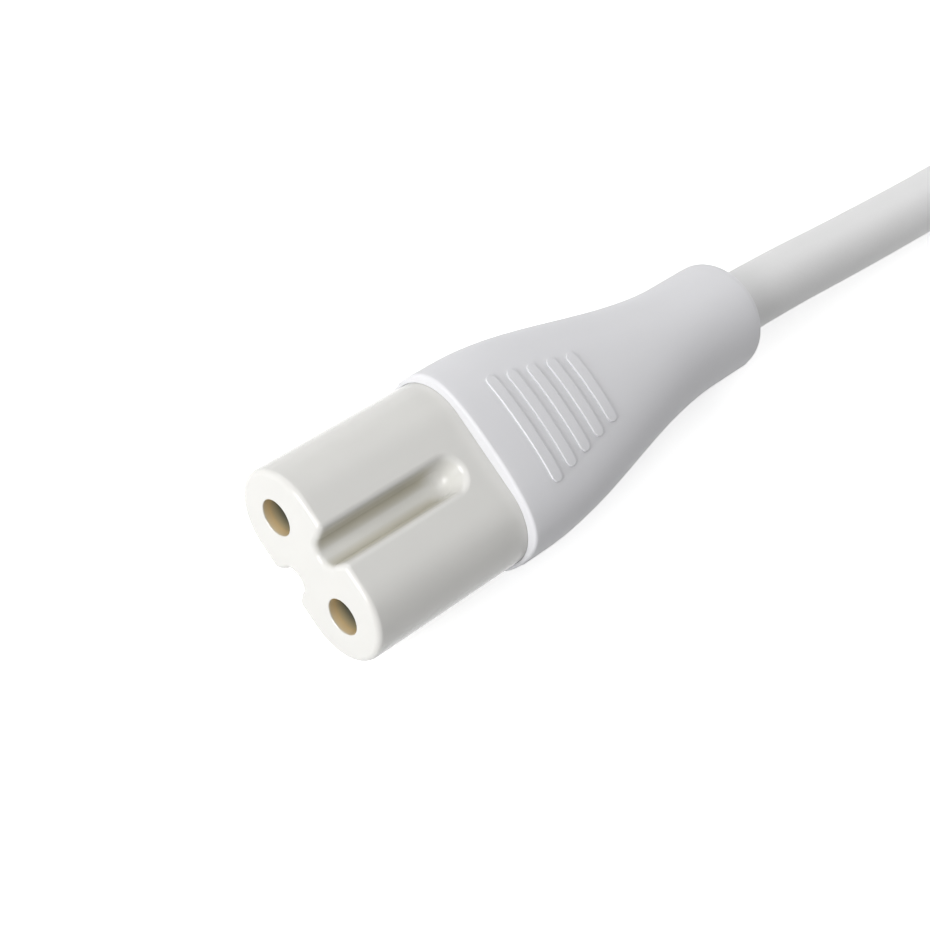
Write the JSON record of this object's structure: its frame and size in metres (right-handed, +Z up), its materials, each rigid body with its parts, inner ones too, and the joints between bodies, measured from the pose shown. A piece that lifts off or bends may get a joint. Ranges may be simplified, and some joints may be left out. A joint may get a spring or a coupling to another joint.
{
  "type": "figure eight power connector",
  "caption": "Moulded figure eight power connector with grooved rigid insert, contacts in pin holes and a tapered soft grip, on a round lead with a flat pinned plug.",
  "frame": {"origin": "on the surface that the connector lies on, under the middle of the connector without its lead", "axes": "+X along the connector from its mating face towards its lead, +Y across its width, +Z up from the surface"},
  "size_m": [0.199, 0.0576, 0.0305],
  "materials": {
    "insert_plastic": "glossy off-white engineering plastic",
    "grip_vinyl": "satin white soft vinyl",
    "lead_jacket": "satin white soft vinyl",
    "inner_mould": "natural first moulding",
    "contact_brass": "rolled brass strip",
    "copper": "bare copper strands",
    "brown_insulation": "brown vinyl",
    "blue_insulation": "blue vinyl",
    "tie_vinyl": "black vinyl over wire",
    "pin_nickel": "nickel plated brass",
    "sleeve_plastic": "black insulating sleeve"
  },
  "bodies": {
    "root": {"connector_insert": "insert_plastic", "contact_left": "contact_brass", "contact_right": "contact_brass", "connector_inner_mould": "inner_mould", "connector_grip": "grip_vinyl", "core_brown_connector": "brown_insulation", "core_blue_connector": "blue_insulation", "strands_brown_connector": "copper", "strands_blue_connector": "copper", "cord_run": "lead_jacket", "cord_hank": "lead_jacket", "cord_tail": "lead_jacket", "hank_tie": "tie_vinyl", "plug_body": "grip_vinyl", "plug_bridge": "insert_plastic", "plug_pin_left": "pin_nickel", "plug_pin_right": "pin_nickel", "pin_sleeve_left": "sleeve_plastic", "pin_sleeve_right": "sleeve_plastic", "core_brown_plug": "brown_insulation", "core_blue_plug": "blue_insulation", "strands_brown_plug": "copper", "strands_blue_plug": "copper"}
  },
  "joints": []
}
